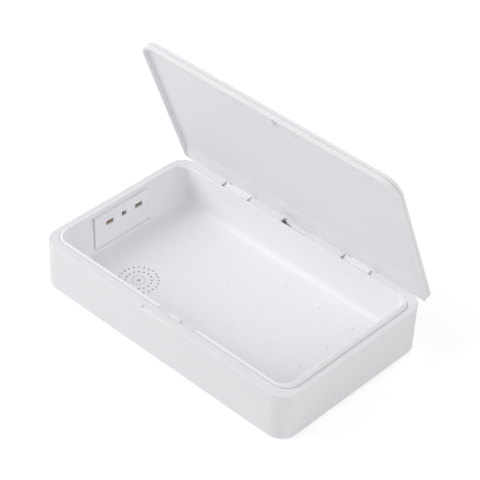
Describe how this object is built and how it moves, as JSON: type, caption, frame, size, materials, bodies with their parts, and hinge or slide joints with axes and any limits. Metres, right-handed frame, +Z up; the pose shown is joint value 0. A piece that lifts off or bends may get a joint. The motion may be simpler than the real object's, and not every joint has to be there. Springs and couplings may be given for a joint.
{
  "type": "uv sanitizer box for phones",
  "caption": "Low white box with a hinged lid standing open over a lipped tray, charging sockets in one inner wall and a round vent pattern in the floor.",
  "frame": {"origin": "middle of the footprint of the box with its lid open, on the surface that the feet stand on", "axes": "+Z up, +X along the hinge with the sockets in the wall at -X, +Y towards the hinge"},
  "size_m": [0.25, 0.1596, 0.1742],
  "materials": {
    "shell_white": "satin",
    "tray_white": "satin",
    "lid_white": "satin",
    "block_white": "satin",
    "socket_black": "satin",
    "socket_blue": "satin",
    "tongue_brown": "satin",
    "board_green": "satin",
    "steel": "satin",
    "rubber_grey": "matte",
    "pad_white": "felt",
    "lamp_yellow": "satin",
    "window_clear": "clear",
    "button_grey": "satin",
    "ring_clear": "frosted"
  },
  "bodies": {
    "base": {"base_shell": "shell_white", "bottom_cover": "shell_white", "aroma_cap": "shell_white", "lid_stop": "shell_white", "tray": "tray_white", "socket_panel": "tray_white", "front_catch": "tray_white", "hinge_block_left": "block_white", "hinge_block_right": "block_white", "socket_left": "socket_black", "socket_right": "socket_black", "lid_sensor": "socket_black", "socket_middle": "socket_blue", "tongue_left": "tongue_brown", "tongue_right": "tongue_brown", "main_board": "board_green", "socket_board": "board_green", "uv_board": "board_green", "hinge_pin_left": "steel", "hinge_pin_right": "steel", "base_magnet": "steel", "power_inlet": "steel", "screw_1": "steel", "screw_2": "steel", "screw_3": "steel", "screw_4": "steel", "foot_1": "rubber_grey", "foot_2": "rubber_grey", "foot_3": "rubber_grey", "foot_4": "rubber_grey", "aroma_pad": "pad_white", "uv_led_1": "lamp_yellow", "uv_led_2": "lamp_yellow", "uv_led_3": "lamp_yellow", "uv_led_4": "lamp_yellow", "uv_window_1": "window_clear", "uv_window_2": "window_clear", "uv_window_3": "window_clear", "uv_window_4": "window_clear"},
    "lid": {"lid_frame": "lid_white", "lid_cover": "lid_white", "lid_magnet": "steel", "button_ring": "ring_clear", "button_board": "board_green"},
    "button": {"power_button": "button_grey"}
  },
  "joints": [
    {"name": "lid_hinge", "type": "hinge", "parent": "base", "child": "lid", "pos_m": [0, 0.06944, 0.0361], "axis": [1, 0, 0], "range_deg": [0, 68]},
    {"name": "button_press", "type": "slide", "parent": "lid", "child": "button", "axis": [0, -0.9272, -0.3746], "range_m": [0, 0.0004], "stiffness_N_per_m": 900}
  ]
}
